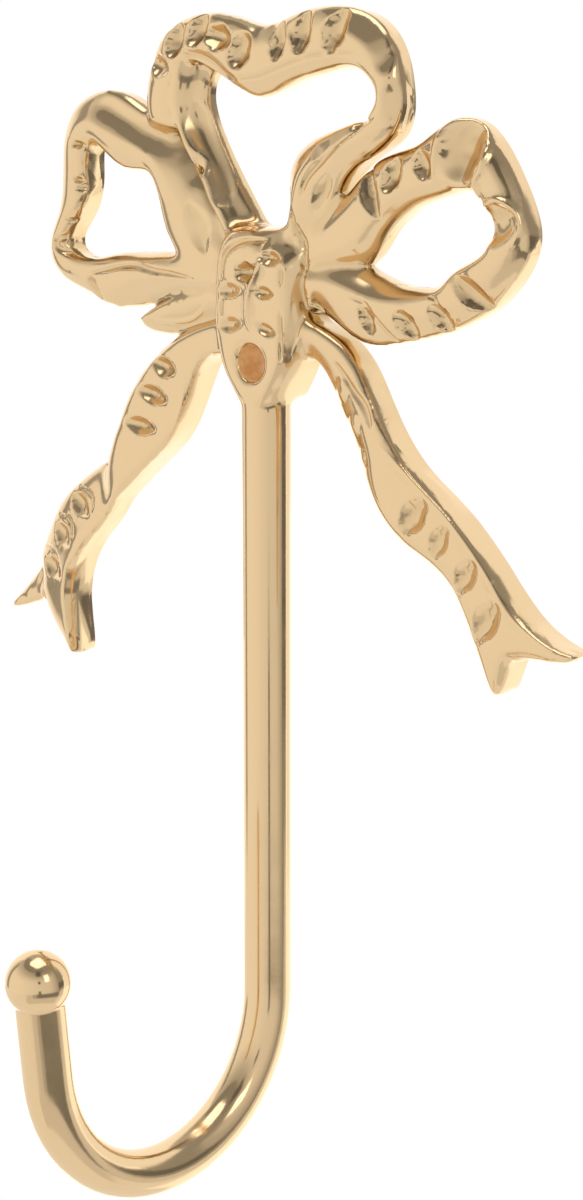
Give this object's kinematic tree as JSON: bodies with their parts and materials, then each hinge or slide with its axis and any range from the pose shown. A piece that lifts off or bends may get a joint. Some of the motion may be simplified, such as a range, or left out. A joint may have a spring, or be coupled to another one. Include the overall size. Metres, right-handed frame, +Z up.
{
  "type": "coat hook",
  "caption": "Cast ribbon-bow coat hook: a faceted bow with loops and forked tails over a round J-shaped rod with a ball end, fixed by a screw through the knot.",
  "frame": {"origin": "on the wall plane, on the axis of the screw hole in the knot", "axes": "+Z up along the rod, +X to the right as seen from the room, -Y out of the wall into the room; the wall is the plane Y = 0"},
  "size_m": [0.0979, 0.0459, 0.143],
  "materials": {
    "gilt_metal": "polished"
  },
  "bodies": {
    "root": {"bow_hook": "gilt_metal"}
  },
  "joints": []
}
